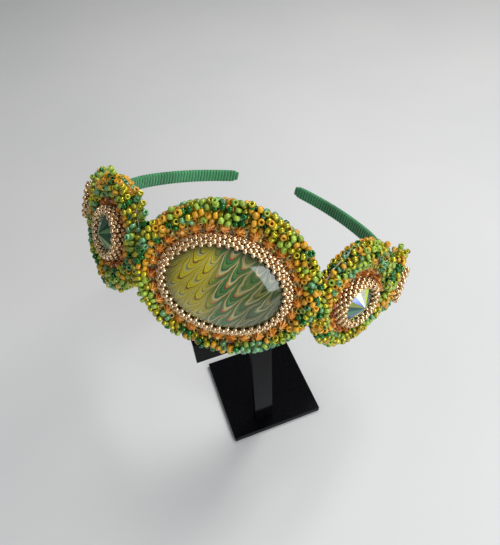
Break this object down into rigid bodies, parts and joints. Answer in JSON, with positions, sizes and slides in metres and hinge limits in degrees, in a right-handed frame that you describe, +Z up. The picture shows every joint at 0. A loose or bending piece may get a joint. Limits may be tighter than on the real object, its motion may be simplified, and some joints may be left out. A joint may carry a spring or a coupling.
{
  "type": "beaded headband on display stand",
  "caption": "Cord-wrapped headband with bead-embroidered oval and round medallions, on a small black acrylic display stand.",
  "frame": {"origin": "middle of the underside of the stand's base", "axes": "+Z up; -Y is the way the large middle medallion faces, seen from above; +X to its right in a front view"},
  "size_m": [0.1336, 0.1366, 0.1398],
  "materials": {
    "hoop_cord": "tightly wrapped green satin cord",
    "backing_leather": "dark green leather backing",
    "seed_beads": "mixed opaque, lustre and silver-lined seed beads",
    "bezel_beads": "polished rose-gold metallic fine beads",
    "amber_stones": "faceted amber glass",
    "cabochon_glass": "clear domed glass over a printed green and yellow ground",
    "crystal_glass": "foiled pointed crystal with a shifting green coating",
    "black_acrylic": "polished black acrylic"
  },
  "bodies": {
    "root": {"wrapped_hoop": "hoop_cord", "center_backing": "backing_leather", "center_bead_field": "seed_beads", "center_amber_ring": "amber_stones", "center_bezel": "bezel_beads", "center_cabochon": "cabochon_glass", "left_inner_backing": "backing_leather", "left_inner_bead_field": "seed_beads", "left_inner_amber_ring": "amber_stones", "left_inner_bezel": "bezel_beads", "left_inner_crystal": "crystal_glass", "right_inner_backing": "backing_leather", "right_inner_bead_field": "seed_beads", "right_inner_amber_ring": "amber_stones", "right_inner_bezel": "bezel_beads", "right_inner_crystal": "crystal_glass", "left_outer_backing": "backing_leather", "left_outer_bead_field": "seed_beads", "left_outer_bezel": "bezel_beads", "left_outer_crystal": "crystal_glass", "right_outer_backing": "backing_leather", "right_outer_bead_field": "seed_beads", "right_outer_bezel": "bezel_beads", "right_outer_crystal": "crystal_glass", "stand_base": "black_acrylic", "stand_tee": "black_acrylic", "stand_cradle": "black_acrylic"}
  },
  "joints": []
}
